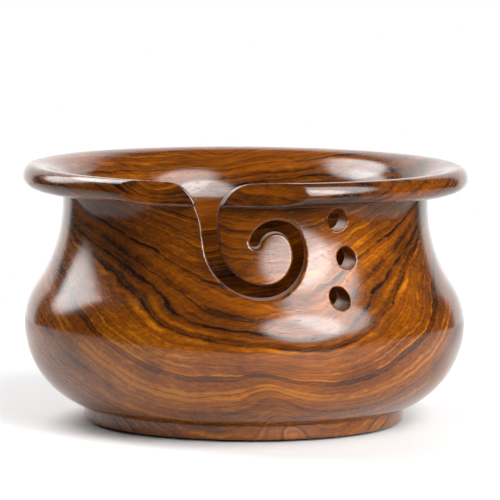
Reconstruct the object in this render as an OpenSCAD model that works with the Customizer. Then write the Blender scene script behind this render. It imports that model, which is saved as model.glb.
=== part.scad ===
// Turned wooden yarn bowl: a foot, a wide belly, a narrow neck and a flared rim with a bead,
// a curled slot that leads the yarn, three holes that park knitting needles, and felt foot pads.
// The origin is the middle of the surface that the bowl stands on. +Z is up, and the slot is
// cut straight through the front wall along Y, so the front is -Y.

/* [Foot] */
// Radius of the foot
foot_r = 64.2; // [62:0.1:66]
// Radius that breaks the foot's lower edge
foot_edge_r = 1.2; // [0.5:0.1:2]
// Radius of the recess turned into the underside
recess_r = 38; // [25:0.5:42]
// Depth of the recess in the underside
recess_depth = 3; // [1:0.1:4]

/* [Belly and neck] */
// Radius of the belly at its widest
belly_r = 88.1; // [87:0.1:89]
// Height of the widest place above the foot's lower edge
belly_z = 38.7; // [38:0.1:39.5]
// Radius of the belly's curve below the widest place
low_curve_r = 35.0; // [34.5:0.1:35.5]
// Radius of the belly's curve above the widest place
shoulder_curve_r = 27.1; // [26:0.1:28]
// Radius of the hollow curve that leads up to the neck
neck_curve_r = 57.4; // [55:0.1:60]
// Height where the neck is narrowest, above the foot's lower edge
neck_z = 86.8; // [86:0.1:88]

/* [Rim] */
// Radius of the rim at its outermost
rim_r = 89; // [88.5:0.1:90]
// Height of the rim's top above the foot's lower edge
rim_z = 102.14; // [101.5:0.1:103]
// Height of the bead's outermost line above the foot's lower edge
bead_z = 97.24; // [96.8:0.1:97.6]
// Width of the bead's lower curve
bead_low_w = 5.9; // [5:0.1:7]
// Height of the bead's lower curve
bead_low_h = 4.6; // [4:0.1:5]
// Width of the bead's upper curve
bead_top_w = 3.9; // [3:0.1:5]
// Height where the rim's underside leaves the neck, above the foot's lower edge
crease_z = 91.8; // [91:0.1:92.2]
// Distance from the bowl's axis to the flat sanded on the front of the rim
flat_dist = 81; // [80:0.1:83]
// Direction of the flat, in degrees from the front towards the right
flat_turn = -14; // [-20:1:-8]

/* [Hollow] */
// Radius of the throat, where the hollow is narrowest
throat_r = 65.3; // [64:0.1:66]
// Height of the throat above the foot's lower edge
throat_z = 80; // [78:0.1:82]
// Radius of the hollow at its widest
hollow_r = 73; // [71:0.1:74]
// Height of the hollow's widest place above the foot's lower edge
hollow_z = 42; // [41:0.1:44]
// Height of the hollow's floor above the foot's lower edge
floor_z = 13; // [11:0.1:15]

/* [Yarn slot] */
// Width of the slot where it begins at the rim
slot_w_mouth = 6.9; // [6:0.1:7.5]
// Width of the slot at its inner end
slot_w_end = 5.5; // [5:0.1:6]
// Where the slot's middle line starts, from the bowl's axis to the right
slot_x = -19.8; // [-20.5:0.1:-19]
// Height where the slot's middle line starts, above the foot's lower edge
slot_z = 88; // [87:0.1:89]
// Radius of the rounded corner at the mouth's right side
mouth_right_r = 14.5; // [13:0.1:15]
// Radius of the rounded corner at the mouth's left side
mouth_left_r = 12.7; // [12:0.1:13.5]

/* [Needle holes] */
// Diameter of each needle hole
hole_d = 8.5; // [7:0.1:9]

/* [Felt pads] */
// Diameter of each felt pad
pad_d = 12; // [10:0.5:16]
// Thickness of each felt pad
pad_t = 1; // [0.8:0.1:1.2]
// Distance from the bowl's axis to the middle of each pad
pad_ring_r = 50; // [48:0.5:51]

/* [Hidden] */

$fn = 96;
step = 2.5;                       // longest straight piece along a drawn curve
over = 1;                         // how far a cutter runs past what it cuts
wall_steps = 14;                  // straight pieces along the hollow's wall
wood = "sienna";
felt = "dimgray";

// The slot's middle line: each arc turns left by [radius, degrees], from straight down at its start.
slot_arcs = [[85, 8], [19.5, 88], [13.8, 114], [8.3, 134]];
// The needle holes, from the top one down: [degrees from the front towards the right, height].
// Heights are above the foot's lower edge, here and below.
holes = [[24.3, 86.4], [26.6, 71.6], [21.8, 56.9]];

// Points of an arc around c from angle a to angle b, on an ellipse with half axes rx and ry.
function ellipse_arc(c, rx, ry, a, b) =
    let (n = max(2, ceil(abs(b - a) * PI / 180 * max(rx, ry) / step)))
    [for (i = [0:n]) let (t = a + (b - a) * i / n) c + [rx * cos(t), ry * sin(t)]];
function arc(c, r, a, b) = ellipse_arc(c, r, r, a, b);

// ---- outside of the bowl, from the recess under the foot to the rim's top, as radius and height.
// The pads' thickness is added later.
low_c = [belly_r - low_curve_r, belly_z];
shoulder_c = [belly_r - shoulder_curve_r, belly_z];
neck_dz = neck_z - belly_z;
neck_c = shoulder_c + [sqrt(pow(shoulder_curve_r + neck_curve_r, 2) - pow(neck_dz, 2)), neck_dz];
join_a = atan2(neck_dz, neck_c[0] - shoulder_c[0]);     // where the shoulder meets the hollow curve
low_start_a = -acos((foot_r - low_c[0]) / low_curve_r); // where the belly meets the foot
crease_a = 180 - asin((crease_z - neck_z) / neck_curve_r);
bead_c = [rim_r - bead_low_w, bead_z];
bead_top_c = [rim_r - bead_top_w, bead_z];
bead_top_h = rim_z - bead_z;

function outside() = concat(
    [[0, recess_depth], [recess_r, recess_depth], [recess_r, 0]],
    arc([foot_r - foot_edge_r, foot_edge_r], foot_edge_r, -90, 0),
    arc(low_c, low_curve_r, low_start_a, 0),
    arc(shoulder_c, shoulder_curve_r, 0, join_a),
    arc(neck_c, neck_curve_r, 180 + join_a, crease_a),
    ellipse_arc(bead_c, bead_low_w, bead_low_h, -90, 0),
    ellipse_arc(bead_top_c, bead_top_w, bead_top_h, 0, 90),
    [[0, rim_z]]);

// ---- hollow: the flare from the rim's top down to the throat, the wall, and the floor
flare_c = [bead_top_c[0], throat_z];
bulge = hollow_r - throat_r;                            // how far the wall swells below the throat
function wall() =
    [for (i = [0:wall_steps]) let (t = 180 * i / wall_steps)
        [throat_r + bulge * (1 - cos(t)) / 2, throat_z + (hollow_z - throat_z) * i / wall_steps]];

function hollow() = concat(
    [[flare_c[0], rim_z + over]],
    ellipse_arc(flare_c, flare_c[0] - throat_r, rim_z - throat_z, 90, 180),
    wall(),
    ellipse_arc([0, hollow_z], hollow_r, hollow_z - floor_z, 0, -90),
    [[0, rim_z + over]]);

// ---- slot: where each arc of the middle line starts, as [x, z, heading]
function turn(s, r, a) =
    let (h = s[2]) [s[0] - r * sin(h) + r * sin(h + a), s[1] + r * cos(h) - r * cos(h + a), h + a];
function slot_at(i) =
    i == 0 ? [slot_x, slot_z, -90] : turn(slot_at(i - 1), slot_arcs[i - 1][0], slot_arcs[i - 1][1]);
slot_end = slot_at(len(slot_arcs));
arc_lengths = [for (s = slot_arcs) s[0] * s[1] * PI / 180];
function sum_to(i) = i == 0 ? 0 : sum_to(i - 1) + arc_lengths[i - 1];
slot_len = sum_to(len(slot_arcs));
function half_w(s) = (slot_w_mouth + (slot_w_end - slot_w_mouth) * s / slot_len) / 2;

// One edge of the slot: side is -1 for the outer edge and 1 for the inner one.
function slot_edge(side) = [
    for (i = [0:len(slot_arcs) - 1])
        let (n = ceil(arc_lengths[i] / step))
        for (k = [(i == 0 ? 0 : 1):n])
            let (p = turn(slot_at(i), slot_arcs[i][0], slot_arcs[i][1] * k / n),
                 w = half_w(sum_to(i) + arc_lengths[i] * k / n))
            [p[0] - side * w * sin(p[2]), p[1] + side * w * cos(p[2])]];
function reversed(v) = [for (i = [len(v) - 1:-1:0]) v[i]];

// The mouth's left side leans out on an arc and a straight, then rounds into the rim's top.
lean_z = 80;
lean_r = 24.6;
lean_a = 21.3;
lean_len = 5.4;
lean_inset = 0.3;                 // how far the mouth's left side starts inside the slot's edge
mouth_left_x = slot_x - slot_w_mouth / 2 + lean_inset;
lean_end = [mouth_left_x - lean_r * (1 - cos(lean_a)), lean_z + lean_r * sin(lean_a)];
left_start = lean_end + lean_len * [-sin(lean_a), cos(lean_a)];
left_c = left_start - mouth_left_r * [cos(lean_a), sin(lean_a)];
right_c = [slot_x + slot_w_mouth / 2 + mouth_right_r, rim_z - mouth_right_r];
mouth_top_z = rim_z + 3 * over;

function mouth() = concat(
    arc([mouth_left_x - lean_r, lean_z], lean_r, 0, lean_a),
    arc(left_c, mouth_left_r, lean_a, 90),
    [[left_c[0], mouth_top_z], [right_c[0], mouth_top_z]],
    arc(right_c, mouth_right_r, 90, 180),
    [[slot_x + slot_w_mouth / 2, lean_z]]);

module on_foot() translate([0, 0, pad_t]) children();

module slot_cutter()
    rotate([90, 0, 0]) linear_extrude(rim_r + over) {
        polygon(concat(slot_edge(-1), reversed(slot_edge(1))));
        translate([slot_end[0], slot_end[1]]) circle(d = slot_w_end);
        polygon(mouth());
    }

module flat_cutter()
    rotate([0, 0, flat_turn]) translate([-rim_r, -rim_r - over, neck_z])
        cube([2 * rim_r, rim_r + over - flat_dist, rim_z - neck_z + over]);

module needle_holes()
    for (h = holes)
        rotate([0, 0, h[0]]) translate([0, 0, h[1]])
            rotate([90, 0, 0]) cylinder(d = hole_d, h = rim_r);

module bowl() color(wood) on_foot() difference() {
    rotate_extrude() polygon(outside());
    rotate_extrude() polygon(hollow());
    slot_cutter();
    flat_cutter();
    needle_holes();
}

module foot_pad(angle)
    color(felt) rotate([0, 0, angle]) translate([0, -pad_ring_r, 0]) cylinder(d = pad_d, h = pad_t);

bowl();
foot_pad(0);  // foot_pad_front
foot_pad(90);  // foot_pad_right
foot_pad(180);  // foot_pad_back
foot_pad(270);  // foot_pad_left
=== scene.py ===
import math
import bpy
import numpy as np
from mathutils import Matrix, Vector


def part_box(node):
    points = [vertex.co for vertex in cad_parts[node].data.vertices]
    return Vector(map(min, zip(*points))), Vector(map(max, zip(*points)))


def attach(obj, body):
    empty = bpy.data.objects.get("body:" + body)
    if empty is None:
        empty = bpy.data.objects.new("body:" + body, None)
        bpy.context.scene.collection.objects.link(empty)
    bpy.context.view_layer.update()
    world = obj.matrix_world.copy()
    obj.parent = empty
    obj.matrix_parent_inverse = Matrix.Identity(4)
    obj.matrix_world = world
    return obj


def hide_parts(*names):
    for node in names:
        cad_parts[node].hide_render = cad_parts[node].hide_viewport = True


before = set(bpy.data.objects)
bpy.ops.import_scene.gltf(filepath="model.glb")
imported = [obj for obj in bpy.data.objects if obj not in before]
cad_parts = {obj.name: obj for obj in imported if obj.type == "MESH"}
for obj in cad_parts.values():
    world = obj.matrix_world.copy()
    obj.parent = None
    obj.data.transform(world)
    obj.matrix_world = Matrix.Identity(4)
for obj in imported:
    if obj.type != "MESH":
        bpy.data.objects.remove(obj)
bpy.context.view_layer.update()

MM = 0.001
BODY = "root"
foot_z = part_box("bowl")[0][2] / MM      # height of the foot's lower edge, which is the pads' thickness

# ---------------------------------------------------------------- the bowl's driving sizes
# Lengths are in mm and angles in degrees, as in the CAD source. Heights are above the foot's lower edge.
FOOT_R, FOOT_EDGE_R = 64.2, 1.2
RECESS_R, RECESS_DEPTH = 38.0, 3.0
BELLY_R, BELLY_Z, LOW_CURVE_R = 88.1, 38.7, 35.0
SHOULDER_CURVE_R, NECK_CURVE_R, NECK_Z = 27.1, 57.4, 86.8
RIM_R, RIM_Z, BEAD_Z = 89.0, 102.14, 97.24
BEAD_LOW_W, BEAD_LOW_H, BEAD_TOP_W = 5.9, 4.6, 3.9
CREASE_Z = 91.8
FLAT_DIST, FLAT_TURN = 81.0, -14.0
THROAT_R, THROAT_Z, HOLLOW_R, HOLLOW_Z, FLOOR_Z = 65.3, 80.0, 73.0, 42.0, 13.0
SLOT_W_MOUTH, SLOT_W_END, SLOT_X, SLOT_Z = 6.9, 5.5, -19.8, 88.0
SLOT_ARCS = [(85, 8), (19.5, 88), (13.8, 114), (8.3, 134)]      # radius, degrees turned to the left
MOUTH_RIGHT_R, MOUTH_LEFT_R = 14.5, 12.7
LEAN_Z, LEAN_R, LEAN_A, LEAN_LEN, LEAN_INSET = 80.0, 24.6, 21.3, 5.4, 0.3
HOLE_R = 4.25
HOLES = [(24.3, 86.4), (26.6, 71.6), (21.8, 56.9)]              # degrees from the front, height

# How far the visible edges are rounded, and how far the slot's walls stand inside the drawn edges, which
# the rounding widens again.
SLOT_EDGE_R, FLAT_EDGE_R, HOLE_EDGE_R, RECESS_EDGE_R = 1.0, 0.9, 0.45, 0.6
SLOT_INSET = 0.4

# Longest straight pieces along drawn curves and lines.
CURVE_STEP, BEAD_STEP, SMALL_STEP, FOOT_EDGE_STEP = 0.9, 0.4, 0.3, 0.25
LINE_STEP, RECESS_WALL_STEP = 4.0, 1.0
WALL_POINTS = 48
SMOOTH_BEND = 25.0      # a curve that bends less than this from one piece to the next is smooth


# ---------------------------------------------------------------- plane curves
def ellipse_arc(centre, rx, ry, a, b, step=CURVE_STEP):
    """Points of an arc of an ellipse with half axes rx and ry, from angle a to angle b."""
    count = max(4, math.ceil(math.radians(abs(b - a)) * max(rx, ry) / step))
    t = np.radians(np.linspace(a, b, count + 1))
    return np.stack([centre[0] + rx * np.cos(t), centre[1] + ry * np.sin(t)], axis=1)


def line(p, q, step=LINE_STEP):
    """Points from p to q, both ends included."""
    count = max(1, math.ceil(math.dist(p, q) / step))
    return np.linspace(p, q, count + 1)


def chain(*stretches):
    """Joins stretches end to end, and drops the points that repeat."""
    points = np.concatenate(stretches)
    keep = np.r_[True, np.linalg.norm(np.diff(points, axis=0), axis=1) > 1e-6]
    return points[keep]


def outline(points):
    """A plane curve's segments, with a normal at each end that is shared where the curve is smooth."""
    a, b = points[:-1], points[1:]
    d = b - a
    normal = np.stack([d[:, 1], -d[:, 0]], axis=1) / np.linalg.norm(d, axis=1)[:, None]
    start, end = normal.copy(), normal.copy()
    smooth = (normal[1:] * normal[:-1]).sum(axis=1) > math.cos(math.radians(SMOOTH_BEND))
    mean = normal[1:] + normal[:-1]
    mean /= np.linalg.norm(mean, axis=1)[:, None]
    start[1:][smooth] = mean[smooth]
    end[:-1][smooth] = mean[smooth]
    return a, d, normal, start, end


def plane_distance(curve, p, batch=20000, tie_break=1e-4):
    """Signed distance of points to an outline, positive on its right-hand side, and the direction there.
    Of two segments that are equally near, the one that faces the point more squarely counts."""
    a, d, normal, start, end = curve
    length2 = (d * d).sum(axis=1)
    dist, away = np.empty(len(p)), np.empty((len(p), 2))
    for k in range(0, len(p), batch):
        q = p[k:k + batch]
        rel = q[:, None] - a
        t = np.clip((rel * d).sum(axis=2) / length2, 0, 1)
        rel -= t[..., None] * d
        side = (rel * normal).sum(axis=2)
        gap2 = (rel * rel).sum(axis=2)
        nearest = (gap2 - tie_break * side * side).argmin(axis=1)
        row = np.arange(len(q))
        dist[k:k + batch] = np.where(side[row, nearest] >= 0, 1, -1) * np.sqrt(gap2[row, nearest])
        part = t[row, nearest][:, None]
        n = start[nearest] * (1 - part) + end[nearest] * part
        away[k:k + batch] = n / np.linalg.norm(n, axis=1)[:, None]
    return dist, away


# ---------------------------------------------------------------- the bowl's outlines
SKIN_FROM_R = 55.0      # inside this radius the floor and the underside are plain rings
MOUTH_OPEN = 30.0       # how far above the rim the slot's outline is left open


def underside():
    """Radius and height from the middle of the recess out to the foot's flat land."""
    e = RECESS_EDGE_R
    inner, outer = (RECESS_R - e, RECESS_DEPTH - e), (RECESS_R + e, e)
    return chain(line((0, RECESS_DEPTH), (inner[0], RECESS_DEPTH)),
                 ellipse_arc(inner, e, e, 90, 0, SMALL_STEP),
                 line((RECESS_R, inner[1]), (RECESS_R, e), RECESS_WALL_STEP),
                 ellipse_arc(outer, e, e, 180, 270, SMALL_STEP),
                 line((outer[0], 0), (SKIN_FROM_R, 0)))


def floor():
    """Radius and height of the hollow's lower half, from its widest place to the middle."""
    return ellipse_arc((0, HOLLOW_Z), HOLLOW_R, HOLLOW_Z - FLOOR_Z, 0, -90)


def turned_profile():
    """The whole outline: from the underside's middle, up the outside, over the rim and down to the floor."""
    low_c = (BELLY_R - LOW_CURVE_R, BELLY_Z)
    shoulder_c = (BELLY_R - SHOULDER_CURVE_R, BELLY_Z)
    dz = NECK_Z - BELLY_Z
    neck_c = (shoulder_c[0] + math.sqrt((SHOULDER_CURVE_R + NECK_CURVE_R) ** 2 - dz ** 2), NECK_Z)
    join = math.degrees(math.atan2(dz, neck_c[0] - shoulder_c[0]))
    low_start = -math.degrees(math.acos((FOOT_R - low_c[0]) / LOW_CURVE_R))
    crease = 180 - math.degrees(math.asin((CREASE_Z - NECK_Z) / NECK_CURVE_R))
    top_c = (RIM_R - BEAD_TOP_W, BEAD_Z)
    foot_edge_c = (FOOT_R - FOOT_EDGE_R, FOOT_EDGE_R)
    foot_edge = ellipse_arc(foot_edge_c, FOOT_EDGE_R, FOOT_EDGE_R, -90, 0, FOOT_EDGE_STEP)
    belly = ellipse_arc(low_c, LOW_CURVE_R, LOW_CURVE_R, low_start, 0)
    shoulder = ellipse_arc(shoulder_c, SHOULDER_CURVE_R, SHOULDER_CURVE_R, 0, join)
    neck = ellipse_arc(neck_c, NECK_CURVE_R, NECK_CURVE_R, 180 + join, crease)
    bead_low = ellipse_arc((RIM_R - BEAD_LOW_W, BEAD_Z), BEAD_LOW_W, BEAD_LOW_H, -90, 0, BEAD_STEP)
    bead_top = ellipse_arc(top_c, BEAD_TOP_W, RIM_Z - BEAD_Z, 0, 90, BEAD_STEP)
    flare = ellipse_arc((top_c[0], THROAT_Z), top_c[0] - THROAT_R, RIM_Z - THROAT_Z, 90, 180)
    t = np.linspace(0, math.pi, WALL_POINTS)
    wall = np.stack([THROAT_R + (HOLLOW_R - THROAT_R) * (1 - np.cos(t)) / 2,
                     THROAT_Z + (HOLLOW_Z - THROAT_Z) * t / math.pi], axis=1)
    return chain(underside(), foot_edge, line(foot_edge[-1], belly[0]), belly, shoulder, neck,
                 line(neck[-1], bead_low[0]), bead_low, bead_top, flare, wall, floor())


def turn(s, r, a):
    """The end of an arc that starts at s = (x, z, heading) and turns left by a degrees."""
    h, k = math.radians(s[2]), math.radians(s[2] + a)
    return s[0] - r * math.sin(h) + r * math.sin(k), s[1] + r * math.cos(h) - r * math.cos(k), s[2] + a


def slot_curl():
    """The slot's outer and inner edges from the mouth to its inner end, and the middle line's end."""
    edges = {-1: [], 1: []}
    state, done = (SLOT_X, SLOT_Z, -90), 0
    total = sum(r * math.radians(a) for r, a in SLOT_ARCS)
    for r, a in SLOT_ARCS:
        length = r * math.radians(a)
        for t in np.linspace(0, 1, math.ceil(length / CURVE_STEP) + 1):
            x, z, heading = turn(state, r, a * t)
            half = (SLOT_W_MOUTH + (SLOT_W_END - SLOT_W_MOUTH) * (done + length * t) / total) / 2
            h = math.radians(heading)
            for side in edges:
                edges[side].append((x - side * half * math.sin(h), z + side * half * math.cos(h)))
        state, done = turn(state, r, a), done + length
    return np.array(edges[-1]), np.array(edges[1]), state


def slot_outline():
    """The curled slot with its flared mouth, as x and height. The wood is on the outline's right."""
    outer, inner, last = slot_curl()
    outer = outer[np.argmax(outer[:, 1] < LEAN_Z):]
    inner = inner[np.argmax(inner[:, 1] < RIM_Z - MOUTH_RIGHT_R):][::-1]
    end = ellipse_arc(last[:2], SLOT_W_END / 2, SLOT_W_END / 2, last[2] - 90, last[2] + 90, SMALL_STEP)
    lean, left_x = math.radians(LEAN_A), SLOT_X - SLOT_W_MOUTH / 2 + LEAN_INSET
    lean_end = (left_x - LEAN_R * (1 - math.cos(lean)), LEAN_Z + LEAN_R * math.sin(lean))
    left_start = (lean_end[0] - LEAN_LEN * math.sin(lean), lean_end[1] + LEAN_LEN * math.cos(lean))
    left_c = (left_start[0] - MOUTH_LEFT_R * math.cos(lean), left_start[1] - MOUTH_LEFT_R * math.sin(lean))
    right_c = (SLOT_X + SLOT_W_MOUTH / 2 + MOUTH_RIGHT_R, RIM_Z - MOUTH_RIGHT_R)
    above = RIM_Z + MOUTH_OPEN
    return chain([(left_c[0], above)], ellipse_arc(left_c, MOUTH_LEFT_R, MOUTH_LEFT_R, 90, LEAN_A),
                 ellipse_arc((left_x - LEAN_R, LEAN_Z), LEAN_R, LEAN_R, LEAN_A, 0),
                 outer, end, inner,
                 ellipse_arc(right_c, MOUTH_RIGHT_R, MOUTH_RIGHT_R, 180, 90), [(right_c[0], above)])


# ---------------------------------------------------------------- the bowl's solid
# A solid is a signed distance from its surface, negative in the wood, with the direction out of the wood.
DEEP = 50.0                                                 # a distance that stands for deep in the wood
CUTS_Z = 50.0                                               # the slot and the holes are above this height
SLOT_LEFT, SLOT_RIGHT, SLOT_FRONT = -50.0, 25.0, -40.0      # X and Y limits around the slot
UP = np.array([0, 0, 1.0])
profile = outline(turned_profile())
slot = outline(slot_outline())


def turned_distance(r, z):
    """Distance from the turned shape, and the direction as radius and height."""
    return plane_distance(profile, np.stack([r, z], axis=1))


def keep_both(a, b, radius):
    """The solid inside both a and b, with the edge between them rounded."""
    (da, ga), (db, gb) = a, b
    ua, ub = np.maximum(da + radius, 0), np.maximum(db + radius, 0)
    far = np.hypot(ua, ub)
    edge = (ua > 0) & (ub > 0)
    rounded = (ua[:, None] * ga + ub[:, None] * gb) / np.where(edge, far, 1)[:, None]
    grad = np.where(edge[:, None], rounded, np.where((da > db)[:, None], ga, gb))
    return np.where(edge, far - radius, np.maximum(da, db)), grad


def front_flat(p):
    """The flat on the front of the rim, which stops above the neck."""
    turn_a = math.radians(FLAT_TURN)
    n = np.array([math.sin(turn_a), -math.cos(turn_a), 0])
    out, up = p @ n - FLAT_DIST, p[:, 2] - NECK_Z
    return np.minimum(out, up), np.where((out < up)[:, None], n, UP)


def slot_wall(p):
    """The wood around the slot. Behind the bowl's front wall there is no slot."""
    dist, grad = np.full(len(p), -DEEP), np.zeros_like(p)
    x, y, z = p.T
    near = (y < SLOT_FRONT) & (z > CUTS_Z) & (x > SLOT_LEFT) & (x < SLOT_RIGHT)
    d, g = plane_distance(slot, p[near][:, [0, 2]])
    dist[near] = -d - SLOT_INSET
    grad[near] = np.stack([-g[:, 0], np.zeros(len(g)), -g[:, 1]], axis=1)
    return dist, grad


def hole_wall(p, direction, height):
    """The wood around one needle hole."""
    a = math.radians(direction)
    axis, side = np.array([math.sin(a), -math.cos(a), 0]), np.array([math.cos(a), math.sin(a), 0])
    u, v = p @ side, p[:, 2] - height
    r = np.maximum(np.hypot(u, v), 1e-6)
    dist = np.where(p @ axis > 0, HOLE_R - r, -DEEP)
    return dist, -(u[:, None] * side + v[:, None] * UP) / r[:, None]


def cut_bowl(p, turned):
    """The bowl's solid at points p, from the turned shape's solid there."""
    solid = keep_both(turned, front_flat(p), FLAT_EDGE_R)
    solid = keep_both(solid, slot_wall(p), SLOT_EDGE_R)
    for direction, height in HOLES:
        solid = keep_both(solid, hole_wall(p, direction, height), HOLE_EDGE_R)
    return solid


def bowl_at(p):
    """The bowl's solid at any points."""
    r = np.maximum(np.hypot(p[:, 0], p[:, 1]), 1e-6)
    d, away = turned_distance(r, p[:, 2])
    grad = np.stack([away[:, 0] * p[:, 0] / r, away[:, 0] * p[:, 1] / r, away[:, 1]], axis=1)
    return cut_bowl(p, (d, grad))


# ---------------------------------------------------------------- the bowl's mesh
# A grid around the bowl's axis: columns at angles from the front, then radii, then heights.
# The steps are relative: each direction gets the number of steps that is given here.
COLUMN_FROM, COLUMNS = -42.0, 240
FINE_FROM, FINE_TO = -38.0, 31.0                        # the columns that cross the slot, holes and flat
COLUMN_STEP, COLUMN_GROWTH, COLUMN_STEP_MAX = 0.5, 0.09, 3.4
RADIUS_TO, RADII = 91.0, 44
FINE_R, INNER_STEP, OUTER_STEP = 62.0, 1.2, 0.8         # the steps change at this radius
HEIGHT_FROM, HEIGHT_TO, HEIGHTS = -1.5, 104.0, 132
FOOT_TOP, BELLY_TOP = 7.0, 50.0                         # heights where the steps change
FOOT_STEP, BELLY_STEP, TOP_STEP = 0.6, 1.6, 0.62
CUT_FROM, CUT_TO = -50.0, 40.0                          # the columns that the cuts can reach
CUT_REACH = 3.0                                         # how far outside the turned shape the cuts count
MOVE_MAX, CLOSE_ENOUGH = 0.8, 1e-3                      # how vertices settle onto the surface
DISC_FROM_R, DISC_TO_R = SKIN_FROM_R - 2, 1.0           # the plain rings' outermost and innermost radius
RING_DENSITY, RING_MIN = 4, 16      # a plain ring with more vertices per mm of radius, and in all, halves
FLOOR_SKIP = 3                      # the floor's plain rings take one in this many of its points


def graded(low, high, count, step_at, samples=4001):
    """Grid lines from low to high, spaced in proportion to step_at."""
    t = np.linspace(low, high, samples)
    density = 1 / step_at(t)
    total = np.r_[0, np.cumsum((density[1:] + density[:-1]) / 2)]
    return np.interp(np.linspace(0, total[-1], count + 1), total, t)


def column_step(t):
    """Degrees between the grid's columns, which grow with the distance from the fine ones."""
    past = np.maximum(np.maximum(FINE_FROM - t, t - FINE_TO), 0)
    past = np.minimum(past, np.maximum(FINE_FROM + 360 - t, 0))
    return np.clip(COLUMN_STEP + COLUMN_GROWTH * past, COLUMN_STEP, COLUMN_STEP_MAX)


def radius_step(r):
    return np.where(r < FINE_R, INNER_STEP, OUTER_STEP)


def height_step(z):
    return np.where(z < FOOT_TOP, FOOT_STEP, np.where(z < BELLY_TOP, BELLY_STEP, TOP_STEP))


def skin(value):
    """One vertex in each grid cell that the surface crosses, in grid steps, and the quads between them.
    The first axis closes on itself."""
    nt, nr, nz = value.shape
    v = np.concatenate([value, value[:1]])
    inside = v < 0
    shape = (nt, nr - 1, nz - 1)
    total, count = np.zeros(shape + (3,)), np.zeros(shape)
    for axis in range(3):
        others = [k for k in range(3) if k != axis]
        for corner in ((0, 0), (0, 1), (1, 0), (1, 1)):
            low = [0, 0, 0]
            low[others[0]], low[others[1]] = corner
            high = list(low)
            high[axis] += 1
            a = v[tuple(slice(s, s + n) for s, n in zip(low, shape))]
            b = v[tuple(slice(s, s + n) for s, n in zip(high, shape))]
            crossed = (a < 0) != (b < 0)
            t = np.where(crossed, a / np.where(crossed, a - b, 1), 0)
            count += crossed
            for k in range(3):
                total[..., k] += np.where(crossed, t if k == axis else low[k], 0)
    used = count > 0
    index = np.full(shape, -1)
    index[used] = np.arange(used.sum())
    places = np.argwhere(used) + total[used] / count[used][:, None]
    return places, np.concatenate([crossing_quads(inside, index, axis) for axis in range(3)]), index


def crossing_quads(inside, index, axis):
    """A quad around each grid line along one axis that the surface crosses, facing out of the wood."""
    shape = index.shape
    low = [slice(0, shape[0]), slice(1, shape[1]), slice(1, shape[2])]
    low[axis] = slice(0, shape[axis])
    high = list(low)
    high[axis] = slice(1, shape[axis] + 1)
    a, b = inside[tuple(low)], inside[tuple(high)]
    at = np.argwhere(a != b) + [s.start for s in low]
    enters = b[a != b]
    u, w = [k for k in range(3) if k != axis]
    ring = []
    for du, dw in ((-1, -1), (0, -1), (0, 0), (-1, 0)):
        cell = at.copy()
        cell[:, u] += du
        cell[:, w] += dw
        cell[:, 0] %= shape[0]
        ring.append(index[tuple(cell.T)])
    quad = np.stack(ring, axis=1)
    flip = enters if axis == 1 else ~enters
    quad[flip] = quad[flip][:, ::-1]
    return quad


def close_disc(ring, path, points, faces, turned_over):
    """Closes the mesh from a ring of vertices to the axis, along a path of (radius, height).
    The rings get fewer vertices as they shrink."""
    def add(*corners):
        faces.append(corners[::-1] if turned_over else corners)
    for r, z in path:
        halve = len(ring) > RING_DENSITY * r and len(ring) % 2 == 0 and len(ring) > RING_MIN
        kept = ring[::2] if halve else ring
        start = len(points)
        for i in kept:
            x, y, _ = points[i]
            far = math.hypot(x, y)
            points.append((x * r / far, y * r / far, z))
        new = list(range(start, start + len(kept)))
        for i, (a, b) in enumerate(zip(new, new[1:] + new[:1])):
            if halve:
                p, q, s = ring[2 * i], ring[2 * i + 1], ring[(2 * i + 2) % len(ring)]
                add(p, q, a)
                add(q, b, a)
                add(q, s, b)
            else:
                add(ring[i], ring[(i + 1) % len(ring)], b, a)
        ring = new
    points.append((0, 0, path[-1][1]))
    for a, b in zip(ring, ring[1:] + ring[:1]):
        add(a, b, len(points) - 1)


def settle(p, rounds=6):
    """Moves points onto the bowl's surface, and returns them with the surface's direction there."""
    moving = np.arange(len(p))
    for _ in range(rounds):
        d, g = bowl_at(p[moving])
        p[moving] -= np.clip(d, -MOVE_MAX, MOVE_MAX)[:, None] * g
        moving = moving[np.abs(d) > CLOSE_ENOUGH]
    return p, bowl_at(p)[1]


def around(theta, r, z):
    """Points from their angle to the right of the front, radius and height."""
    a = np.radians(theta)
    return np.stack([r * np.sin(a), -r * np.cos(a), z], axis=1)


def grid_values(theta, radii, heights):
    """The bowl's signed distance at each grid point."""
    r, z = (v.ravel() for v in np.meshgrid(radii, heights, indexing="ij"))
    plain = turned_distance(r, z)[0]
    value = np.tile(plain, (len(theta), 1))
    cut = ((theta < CUT_TO) | (theta > CUT_FROM + 360))[:, None] & (z > CUTS_Z) & (plain < CUT_REACH)
    column, cell = np.nonzero(cut)
    p = around(theta[column], r[cell], z[cell])
    value[cut] = cut_bowl(p, (plain[cell], np.zeros_like(p)))[0]
    return value.reshape(len(theta), len(radii), len(heights))


def bowl_surface():
    """The bowl's vertices, its faces, and the direction of the surface at each vertex."""
    theta = graded(COLUMN_FROM, COLUMN_FROM + 360, COLUMNS, column_step)[:-1]
    radii = graded(SKIN_FROM_R, RADIUS_TO, RADII, radius_step)
    heights = graded(HEIGHT_FROM, HEIGHT_TO, HEIGHTS, height_step)
    places, quads, index = skin(grid_values(theta, radii, heights))
    p = around(np.interp(places[:, 0], np.arange(len(theta) + 1), np.r_[theta, theta[0] + 360]),
               np.interp(places[:, 1], np.arange(len(radii)), radii),
               np.interp(places[:, 2], np.arange(len(heights)), heights))
    points, faces = [tuple(v) for v in settle(p)[0]], [tuple(q) for q in quads.tolist()]
    low, high = ([int(column[column >= 0][k]) for column in index[:, 0]] for k in range(2))
    for ring, path, turned_over in ((low, underside()[::-1], True), (high, floor()[::FLOOR_SKIP], False)):
        close_disc(ring, [q for q in path if DISC_TO_R < q[0] < DISC_FROM_R], points, faces, turned_over)
    points = np.array(points)
    return points, faces, settle(points, 0)[1]


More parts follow.
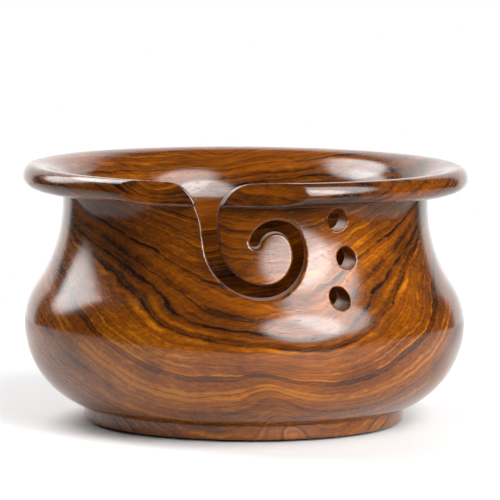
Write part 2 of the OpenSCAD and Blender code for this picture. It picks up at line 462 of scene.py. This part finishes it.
def mesh_object(name, points, faces, normals=None):
    """A smooth mesh object from points in mm above the foot's lower edge."""
    mesh = bpy.data.meshes.new(name)
    points = (np.asarray(points) + (0, 0, foot_z)) * MM
    mesh.from_pydata(points.tolist(), [], faces)
    mesh.shade_smooth()
    if normals is not None:
        mesh.normals_split_custom_set_from_vertices(normals.tolist())
    made = bpy.data.objects.new(name, mesh)
    bpy.context.scene.collection.objects.link(made)
    return made


# ---------------------------------------------------------------- node helpers
WHITE = (1, 1, 1, 1)
MIDDLE = (0.5, 0.5, 0.5)           # the mean of a noise vector


class Nodes:
    """Builds a node tree with short calls. An input takes a number, a tuple or another node's output."""

    def __init__(self, tree):
        self.tree = tree
        tree.nodes.clear()

    def put(self, socket, value):
        if isinstance(value, bpy.types.NodeSocket):
            self.tree.links.new(value, socket)
        elif value is not None:
            socket.default_value = value

    def add(self, kind, *inputs, out=0, named=None, **settings):
        """A node with its first inputs in order and others by name. The answer is one of its outputs."""
        node = self.tree.nodes.new("ShaderNode" + kind)
        for key, value in settings.items():
            setattr(node, key, value)
        for socket, value in zip(node.inputs, inputs):
            self.put(socket, value)
        for key, value in (named or {}).items():
            self.put(node.inputs[key], value)
        return node.outputs[out]

    def math(self, operation, *inputs):
        return self.add("Math", *inputs, operation=operation)

    def vector(self, operation, *inputs, out=0):
        return self.add("VectorMath", *inputs, operation=operation, out=out)

    def scaled(self, vector, factor):
        return self.add("VectorMath", vector, named={"Scale": factor}, operation="SCALE")

    def place_in_mm(self):
        """The point that is shaded, in mm from the scene's origin on the table."""
        return self.scaled(self.add("TexCoord", out=3), 1 / MM)

    def noise(self, at, scale, detail=2.0, roughness=0.5, out=0):
        return self.add("TexNoise", at, None, scale, detail, roughness, out=out, noise_dimensions="3D")

    def noise_along(self, value, period, start, detail):
        """Noise along a single number, with features about one period long."""
        place = self.math("ADD", value, start)
        return self.add("TexNoise", named={"W": place, "Scale": 1 / period, "Detail": detail},
                        noise_dimensions="1D")

    def square_from(self, value, middle):
        x = self.math("SUBTRACT", value, middle)
        return self.math("MULTIPLY", x, x)

    def bell(self, value, width):
        """1 where the value is 0, and less the further it is from 0."""
        x = self.math("DIVIDE", value, width)
        return self.math("EXPONENT", self.math("MULTIPLY", self.math("MULTIPLY", x, x), -1.0))

    def span(self, value, low, high, to_low=0.0, to_high=1.0):
        """Goes smoothly from to_low, where the value is low, to to_high, where it is high."""
        return self.add("MapRange", value, low, high, to_low, to_high, interpolation_type="SMOOTHSTEP")

    def mix(self, factor, a, b):
        node = self.tree.nodes.new("ShaderNodeMix")
        node.data_type = "RGBA"
        for socket, value in zip((node.inputs[0], node.inputs[6], node.inputs[7]), (factor, a, b)):
            self.put(socket, (*value, 1) if isinstance(value, tuple) else value)
        return node.outputs[2]

    def ramp(self, factor, stops):
        node = self.tree.nodes.new("ShaderNodeValToRGB")
        while len(node.color_ramp.elements) < len(stops):
            node.color_ramp.elements.new(0.5)
        for item, (place, colour) in zip(node.color_ramp.elements, stops):
            item.position, item.color = place, (*colour, 1)
        self.put(node.inputs[0], factor)
        return node.outputs[0]


def material(name):
    made = bpy.data.materials.new(name)
    made.use_nodes = True
    return made, Nodes(made.node_tree)


def finish(n, kind, shader):
    """Adds the tree's output node."""
    n.put(n.tree.nodes.new("ShaderNodeOutput" + kind).inputs[0], shader)


# ---------------------------------------------------------------- wood
# Places and lengths are in mm. Ring radii are distances from the log's middle.
PITH = (0.0, 25.5, -52.0)          # a point on the log's middle, below the bowl
GRAIN = (0.9926, 0.1020, 0.0637)   # the log's direction
WAVE_SIZE, WAVE_SHIFT = 55.0, 9.0  # how the log's shape wavers
RIPPLE_SIZE, RIPPLE_SHIFT = 8.0, 2.6
BRANCH = ((14.0, -62.0, 4.0), (-0.37, -0.80, 0.47))     # a point on a branch's middle, and its direction
EYE = ((-41.0, -73.0, 107.0), (-0.24, -0.97, 0.0))      # the same for a small knot behind the rim's flat
# Each sweep's branch, how wide it is, and how far it moves the rings.
SWEEPS = ((BRANCH, 26.0, -12.0), (BRANCH, 7.0, -9.0), (EYE, 9.0, 12.0))
# What share of the distance along the grain counts: the smaller it is, the longer the streaks.
RIPPLE_SHARE, FIBRE_SHARE, PORE_SHARE = 0.7, 0.06, 0.09

# Single rings: radius, width, and how much darker or lighter they are.
DARK_RINGS = ((145.0, 0.5, 0.6), (140.8, 0.5, 0.35), (153.5, 0.6, 0.45), (120.5, 0.7, 0.3),
              (163.0, 0.5, 0.3), (175.0, 6.0, 0.18), (178.0, 1.0, 0.5), (183.0, 1.6, 0.4),
              (188.5, 1.2, 0.35))
LIGHT_RINGS = ((110.5, 0.8, 0.3), (127.5, 1.4, 0.2), (147.5, 2.0, 0.12), (134.0, 0.7, 0.25))
# Soft patches: middle, width, and how much lighter they are. Their outline wavers. Two of them are painted
# shade: the one at (8, 64, 44) darkens the inner back wall low down, and the one at (-40, -50, 2) darkens
# the foot's front left.
TONE_AND_SHADE_PATCHES = (((22, -76, 70), 26, 0.14), ((-52, -54, 72), 16, -0.12), ((-42, -58, 90), 12, 0.14),
           ((-58, -62, 47), 15, -0.16), ((0, -88, 44), 16, 0.08), ((82, -22, 58), 34, -0.22),
           # painted shade: the last patch on the next line darkens the inner back wall low down
           ((-45, -65, 12), 28, 0.24), ((0, 68, 92), 50, 0.12), ((8, 64, 44), 32, -0.55),
           ((28, -80, 97), 12, -0.38), ((72, -44, 99), 16, -0.2), ((-24, -84, 97), 7, -0.3),
           # painted shade: the patch on the next line darkens the foot's front left side
           ((-40, -50, 2), 24, -0.15))
PATCH_WAVE = 60.0
# Noise across the rings: how long its features are, where it starts, and its detail.
ZONES, FINE_LINES = (9.0, 3.0, 1.0), (0.9, 17.0, 2.0)
LIGHT_LINES, DARK_LINES = (2.0, 40.0, 3.0), (2.4, 90.0, 3.0)
LIGHT_LINE_EDGE, DARK_LINE_EDGE = (0.45, 0.72), (0.5, 0.3)      # noise where a line begins and is full
BREAK_SIZE, BREAK_EDGE = 8.0, (0.35, 0.62)                      # where lines break off along the grain
# What each part of the figure adds to the tone, which goes from 0, dark, to 1, light.
BASE_TONE, ZONE_TONE, LIGHT_LINE_TONE, DARK_LINE_TONE = 0.245, 0.5, 0.36, -0.26
STREAK_TONE, FINE_LINE_TONE, CLOUD_TONE = 0.75, 0.45, 0.6
OUTER_RINGS, INNER_RINGS = (141.0, 0.03), (122.0, 0.17)         # radius, tone that they add
STREAK_SCALE, STREAK_DETAIL, STREAK_ROUGHNESS = 0.8, 4.0, 0.7
CLOUD_SIZE, CLOUD_DETAIL, CLOUD_ROUGHNESS = 30.0, 3.0, 0.6
WOOD_COLOURS = ((0.0, (0.008, 0.003, 0.0015)), (0.25, (0.035, 0.0095, 0.0015)),
                (0.5, (0.088, 0.0215, 0.0013)), (0.75, (0.165, 0.042, 0.0013)), (1.0, (0.30, 0.096, 0.003)))

PORE_SCALE, PORE_EDGE = 2.4, (0.62, 0.70)
PORE_COLOUR, PORE_COVER = (0.008, 0.004, 0.003), 0.75
PORE_BUMP, PORE_DEPTH = 0.3, 0.00003    # strength, and depth in m
SAWN_FACING = (0.45, 0.2)               # how squarely a wall faces the bowl's radius: skin, sawn wall
SAWN_FROM, SAWN_TO = (50.0, 52.0), (101.0, 98.0)        # heights where sawn walls begin and end
SKIN_ROUGHNESS, PORE_ROUGHNESS, SAWN_ROUGHNESS = 0.12, 0.35, 0.42
VARNISH_IOR = 1.46


def wavering(n, at):
    """A slow wave of about -0.5 to 0.5 each way."""
    return n.vector("SUBTRACT", n.noise(at, 1 / WAVE_SIZE, 1.0, out=1), MIDDLE)


def streaked(n, across, along, share):
    """A place in the log that goes slower along the grain, so that noise there is drawn out into streaks."""
    return n.vector("ADD", across, n.scaled(GRAIN, n.math("MULTIPLY", along, share)))


def ring_radius(n, at, across, along):
    """Distance from the log's middle, swept aside by the branches and rippled."""
    ring = n.vector("LENGTH", across, out=1)
    for (point, direction), width, sweep in SWEEPS:
        beside = n.vector("CROSS_PRODUCT", n.vector("SUBTRACT", at, point), direction)
        ring = n.math("MULTIPLY_ADD", n.bell(n.vector("LENGTH", beside, out=1), width), sweep, ring)
    ripple = n.noise(streaked(n, across, along, RIPPLE_SHARE), 1 / RIPPLE_SIZE)
    return n.math("MULTIPLY_ADD", n.math("SUBTRACT", ripple, 0.5), RIPPLE_SHIFT, ring)


def wood_tone_and_shade(n, at, wave, fibre, ring):
    """Broad zones, thin light and dark lines, single rings, soft patches, streaks and clouds. Two of the
    soft patches are painted shade, on the inner back wall and on the foot.
    """
    def plus(part, weight, tone):
        return n.math("MULTIPLY_ADD", part, weight, tone)
    tone = plus(n.noise_along(ring, *ZONES), ZONE_TONE, BASE_TONE)
    unbroken = n.span(n.noise(fibre, 1 / BREAK_SIZE), *BREAK_EDGE)
    light = n.span(n.noise_along(ring, *LIGHT_LINES), *LIGHT_LINE_EDGE)
    tone = plus(n.math("MULTIPLY", light, unbroken), LIGHT_LINE_TONE, tone)
    tone = plus(n.span(n.noise_along(ring, *DARK_LINES), *DARK_LINE_EDGE), DARK_LINE_TONE, tone)
    (outer, outer_tone), (inner, inner_tone) = OUTER_RINGS, INNER_RINGS
    tone = n.math("ADD", tone, n.span(ring, outer, inner, outer_tone, inner_tone))
    for rings, sign in ((DARK_RINGS, -1), (LIGHT_RINGS, 1)):
        for radius, width, depth in rings:
            single = n.bell(n.math("SUBTRACT", ring, radius), width)
            tone = plus(n.math("MULTIPLY", single, unbroken), sign * depth, tone)
    wavy = n.vector("ADD", at, n.scaled(wave, PATCH_WAVE))
    # two of these patches are painted shade: low on the inner back wall and on the foot's front left
    for place, width, shift in TONE_AND_SHADE_PATCHES:
        tone = plus(n.bell(n.vector("DISTANCE", wavy, place, out=1), width), shift, tone)
    streak = n.noise(fibre, STREAK_SCALE, STREAK_DETAIL, STREAK_ROUGHNESS)
    fine = n.noise_along(ring, *FINE_LINES)
    cloud = n.noise(at, 1 / CLOUD_SIZE, CLOUD_DETAIL, CLOUD_ROUGHNESS)
    for noise, weight in ((streak, STREAK_TONE), (fine, FINE_LINE_TONE), (cloud, CLOUD_TONE)):
        tone = plus(n.math("SUBTRACT", noise, 0.5), weight, tone)
    return tone


def sawn_walls(n, at):
    """1 on the slot's and the holes' walls, which face across the bowl's radius, and 0 elsewhere."""
    level = n.vector("NORMALIZE", n.vector("MULTIPLY", at, (1, 1, 0)))
    facing = n.math("ABSOLUTE", n.vector("DOT_PRODUCT", level, n.add("NewGeometry", out=1), out=1))
    height = n.add("SeparateXYZ", at, out=2)
    return n.math("MULTIPLY", n.span(facing, *SAWN_FACING),
                  n.math("MULTIPLY", n.span(height, *SAWN_FROM), n.span(height, *SAWN_TO)))


def varnished_wood():
    """Figured dark hardwood under clear varnish, with painted shade low on the inner back wall and on the
    foot. The sawn walls are sanded, not polished.
    """
    made, n = material("varnished_wood")
    at = n.place_in_mm()
    wave = wavering(n, at)
    offset = n.vector("ADD", n.vector("SUBTRACT", at, PITH), n.scaled(wave, WAVE_SHIFT))
    along = n.vector("DOT_PRODUCT", offset, GRAIN, out=1)
    across = n.vector("CROSS_PRODUCT", offset, GRAIN)
    fibre = streaked(n, across, along, FIBRE_SHARE)
    ring = ring_radius(n, at, across, along)
    colour = n.ramp(wood_tone_and_shade(n, at, wave, fibre, ring), WOOD_COLOURS)

    # pores: short dark dashes along the grain
    pore = n.span(n.noise(streaked(n, across, along, PORE_SHARE), PORE_SCALE, 1.0), *PORE_EDGE)
    colour = n.mix(n.math("MULTIPLY", pore, PORE_COVER), colour, PORE_COLOUR)
    bump = n.add("Bump", PORE_BUMP, PORE_DEPTH, named={"Height": n.math("SUBTRACT", 1.0, pore)})
    rough = n.math("MAXIMUM", n.span(pore, 0.0, 1.0, SKIN_ROUGHNESS, PORE_ROUGHNESS),
                   n.span(sawn_walls(n, at), 0.0, 1.0, 0.0, SAWN_ROUGHNESS))
    look = {"Base Color": colour, "Roughness": rough, "Normal": bump, "IOR": VARNISH_IOR}
    finish(n, "Material", n.add("BsdfPrincipled", named=look))
    return made


# ---------------------------------------------------------------- felt pads
PAD_SEGMENTS = 64
PAD_CORNER = 0.3                   # mm: how far a pad's edges are rounded
PAD_FUZZ = 0.06                    # mm: how uneven its side and its lower face are
PAD_EYE_R, PAD_FUZZ_FROM_R = 0.5, 1.0       # mm: its innermost ring, and where its rings become uneven
PAD_BOTTOM_STEP, PAD_CORNER_STEP, PAD_SIDE_STEP, PAD_TOP_STEP = 0.5, 0.15, 0.2, 1.0

FELT_BEND_SCALE, FELT_BEND = 1.2, 1.6
FIBRE_SCALE, FIBRE_DETAIL, FIBRE_ROUGHNESS, FIBRE_TONE = 3.5, 5.0, 0.65, 0.6
CLUMP_SCALE, CLUMP_TONE = 0.5, 0.4
FELT_TONES = (0.35, 0.65)
FELT_COLOURS = ((0.0, (0.035, 0.025, 0.018)), (0.55, (0.10, 0.075, 0.055)), (1.0, (0.19, 0.15, 0.115)))
FELT_BUMP, FELT_DEPTH = 0.8, 0.0001         # strength, and depth in m
FELT_ROUGHNESS, FELT_IOR = 0.95, 1.35


def pad_rows(radius, bottom, top):
    """Radius and height from the middle of a pad's lower face, around its side, to the middle of its top."""
    inner = radius - PAD_CORNER
    low, high = bottom + PAD_CORNER, top - PAD_CORNER
    return chain(line((PAD_EYE_R, bottom), (inner, bottom), PAD_BOTTOM_STEP),
                 ellipse_arc((inner, low), PAD_CORNER, PAD_CORNER, -90, 0, PAD_CORNER_STEP),
                 line((radius, low), (radius, high), PAD_SIDE_STEP),
                 ellipse_arc((inner, high), PAD_CORNER, PAD_CORNER, 0, 90, PAD_CORNER_STEP),
                 line((inner, top), (PAD_EYE_R, top), PAD_TOP_STEP))


def felt_pad(node, made, seed):
    """A felt disc in place of a CAD pad: flat where it is glued to the wood, soft and uneven elsewhere."""
    low, high = (np.array(v) / MM - (0, 0, foot_z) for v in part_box(node))
    x, y = ((low + high) / 2)[:2]
    bottom, top = low[2], high[2]
    rows = pad_rows((high[0] - low[0]) / 2, bottom, top)
    draw = np.random.default_rng(seed)
    a = np.arange(PAD_SEGMENTS) * 2 * math.pi / PAD_SEGMENTS
    points = []
    for r, z in rows:
        inward, upward = PAD_FUZZ * draw.random((2, PAD_SEGMENTS)) * (top - z) / (top - bottom)
        far = r - inward * (r > PAD_FUZZ_FROM_R)
        points += list(zip(x + far * np.cos(a), y + far * np.sin(a), z + upward))
    last = (len(rows) - 1) * PAD_SEGMENTS
    points += [(x, y, bottom + PAD_FUZZ / 2), (x, y, top)]
    faces = []
    for i in range(PAD_SEGMENTS):
        j = (i + 1) % PAD_SEGMENTS
        for k in range(0, last, PAD_SEGMENTS):
            faces.append((k + i, k + j, k + j + PAD_SEGMENTS, k + i + PAD_SEGMENTS))
        faces += [(len(points) - 2, j, i), (last + i, last + j, len(points) - 1)]
    pad = mesh_object(node.replace("foot", "felt"), points, faces)
    pad.data.materials.append(made)
    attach(pad, BODY)
    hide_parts(node)


def brown_felt():
    """Dense pressed felt: tangled fibres, lighter and darker, with a rough surface."""
    made, n = material("brown_felt")
    at = n.place_in_mm()
    bend = n.vector("SUBTRACT", n.noise(at, FELT_BEND_SCALE, out=1), MIDDLE)
    bent = n.vector("ADD", at, n.scaled(bend, FELT_BEND))
    tangle = n.noise(bent, FIBRE_SCALE, FIBRE_DETAIL, FIBRE_ROUGHNESS)
    clumps = n.noise(at, CLUMP_SCALE)
    tone = n.math("MULTIPLY_ADD", clumps, CLUMP_TONE, n.math("MULTIPLY", tangle, FIBRE_TONE))
    colour = n.ramp(n.span(tone, *FELT_TONES), FELT_COLOURS)
    bump = n.add("Bump", FELT_BUMP, FELT_DEPTH, named={"Height": tangle})
    look = {"Base Color": colour, "Roughness": FELT_ROUGHNESS, "Normal": bump, "IOR": FELT_IOR}
    finish(n, "Material", n.add("BsdfPrincipled", named=look))
    return made


# ---------------------------------------------------------------- camera, table and light
CAMERA_TURN = -5.0         # degrees: the slot is cut a little to the right of the line of sight
CAMERA_DISTANCE = 1754.95  # from the bowl's axis, level, in mm
CAMERA_HEIGHT = 255.44     # above the foot, in mm
CAMERA_PITCH, CAMERA_YAW, CAMERA_ROLL = 6.110, 0.066, 0.474     # degrees
FOCAL_LENGTH, SENSOR_WIDTH = 316.76, 36.0       # mm
CLIP_END = 20.0                                 # m

# From here on, lengths are in m.
LIGHT_AIM = 0.05                                # height that the lights face
# Softboxes: name, azimuth, elevation, width, height, radiance, core, distance.
LIGHTS = (("key_light", 52, 38, 44, 62, 9, 0.4, 1.2),
          ("key_light_core", 32, 23, 46, 46, 11, 0.45, 1.2),
          ("left_light", -114, 33, 34, 52, 7.5, 0.2, 0.7),
          ("left_light_top", -124, 53, 52, 28, 9, 0.4, 0.7))
TABLE_FRONT, TABLE_REAR, TABLE_HALF_WIDTH = 0.27, 0.4, 1.2      # from the bowl's axis
TABLE_FADE = (0.15, 0.42)            # from the origin, where the table melts into the background
TABLE_WHITE, TABLE_ROUGHNESS = 0.63, 0.6
BACKGROUND_EDGE = (0.76, 0.84)       # cosine of the level angle from straight behind the bowl
BACKGROUND_TOP = (0.7, 0.5)          # sine of the elevation where the background ends
SURROUND_DARK, SURROUND_BRIGHT = 0.05, 1.3


def from_camera(azimuth, elevation=0.0):
    """A direction, from its azimuth to the right of the camera's and its elevation, in degrees."""
    a, e = math.radians(azimuth + CAMERA_TURN), math.radians(elevation)
    return Vector((math.sin(a) * math.cos(e), -math.cos(a) * math.cos(e), math.sin(e)))


def set_camera():
    data = bpy.data.cameras.new("camera")
    data.lens, data.sensor_width, data.clip_end = FOCAL_LENGTH, SENSOR_WIDTH, CLIP_END
    camera = bpy.data.objects.new("camera", data)
    camera.location = from_camera(0) * CAMERA_DISTANCE * MM + Vector((0, 0, (CAMERA_HEIGHT + foot_z) * MM))
    camera.rotation_euler = (Matrix.Rotation(math.radians(CAMERA_TURN - CAMERA_YAW), 3, "Z")
                             @ Matrix.Rotation(math.radians(90 - CAMERA_PITCH), 3, "X")
                             @ Matrix.Rotation(math.radians(CAMERA_ROLL), 3, "Z")).to_euler()
    bpy.context.scene.collection.objects.link(camera)
    bpy.context.scene.camera = camera


def softbox(name, azimuth, elevation, width, height, radiance, core, distance):
    """A soft light. Its place and its size are angles in degrees, seen from the bowl. Its glow is round, and
    fades from its core to nothing at the middle of its sides. The core is a squared share of the way out."""
    data = bpy.data.lights.new(name, "AREA")
    data.shape = "RECTANGLE"
    data.size, data.size_y = (2 * distance * math.tan(math.radians(v) / 2) for v in (width, height))
    data.energy = radiance * math.pi * data.size * data.size_y
    data.use_nodes = True
    n = Nodes(data.node_tree)
    middle = 0.5                                # the light's own coordinates go from 0 to 1 each way
    on_light = n.add("NewGeometry", out=5)
    aside, up = (n.square_from(n.add("SeparateXYZ", on_light, out=k), middle) for k in range(2))
    out2 = n.math("DIVIDE", n.math("ADD", aside, up), middle ** 2)
    finish(n, "Light", n.add("Emission", WHITE, n.span(out2, 1.0, core)))
    lamp = bpy.data.objects.new(name, data)
    away = from_camera(azimuth, elevation)
    lamp.location = Vector((0, 0, LIGHT_AIM)) + away * distance
    lamp.rotation_euler = away.to_track_quat("Z", "Y").to_euler()
    bpy.context.scene.collection.objects.link(lamp)


def set_world():
    """A white background behind the bowl. The side that the camera stands on is dark."""
    world = bpy.data.worlds.new("studio")
    bpy.context.scene.world = world
    bpy.context.scene.view_settings.view_transform = "Standard"
    world.use_nodes = True
    n = Nodes(world.node_tree)
    look = n.add("TexCoord")
    level = n.vector("NORMALIZE", n.vector("MULTIPLY", look, (1, 1, 0)))
    back = n.span(n.vector("DOT_PRODUCT", level, tuple(-from_camera(0)), out=1), *BACKGROUND_EDGE)
    back = n.math("MULTIPLY", back, n.span(n.add("SeparateXYZ", look, out=2), *BACKGROUND_TOP))
    light = n.add("Background", WHITE, n.math("MULTIPLY_ADD", back, SURROUND_BRIGHT, SURROUND_DARK))
    finish(n, "World", n.add("MixShader", n.add("LightPath"), light, n.add("Background", WHITE, 1.0)))


def set_table():
    """A white table top that melts into the background."""
    mesh = bpy.data.meshes.new("table_top")
    side = from_camera(90) * TABLE_HALF_WIDTH
    front, rear = (from_camera(0) * d for d in (TABLE_FRONT, -TABLE_REAR))
    corners = (front - side, front + side, rear + side, rear - side)
    mesh.from_pydata([tuple(c) for c in corners], [], [(0, 1, 2, 3)])
    table = bpy.data.objects.new("table_top", mesh)
    bpy.context.scene.collection.objects.link(table)
    made, n = material("white_table")
    far = n.span(n.vector("LENGTH", n.add("TexCoord", out=3), out=1), *TABLE_FADE)
    look = {"Base Color": (TABLE_WHITE, TABLE_WHITE, TABLE_WHITE, 1), "Roughness": TABLE_ROUGHNESS}
    top = n.add("BsdfPrincipled", named=look)
    finish(n, "Material", n.add("MixShader", far, top, n.add("Emission", WHITE, 1.0)))
    mesh.materials.append(made)


# ---------------------------------------------------------------- the scene
set_camera()
set_world()
set_table()
for light in LIGHTS:
    softbox(*light)

points, faces, normals = bowl_surface()
bowl = mesh_object("bowl_wood", points, faces, normals)
bowl.data.materials.append(varnished_wood())
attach(bowl, BODY)
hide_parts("bowl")
felt = brown_felt()
for seed, place in enumerate(("front", "right", "back", "left")):
    felt_pad("foot_pad_" + place, felt, seed)
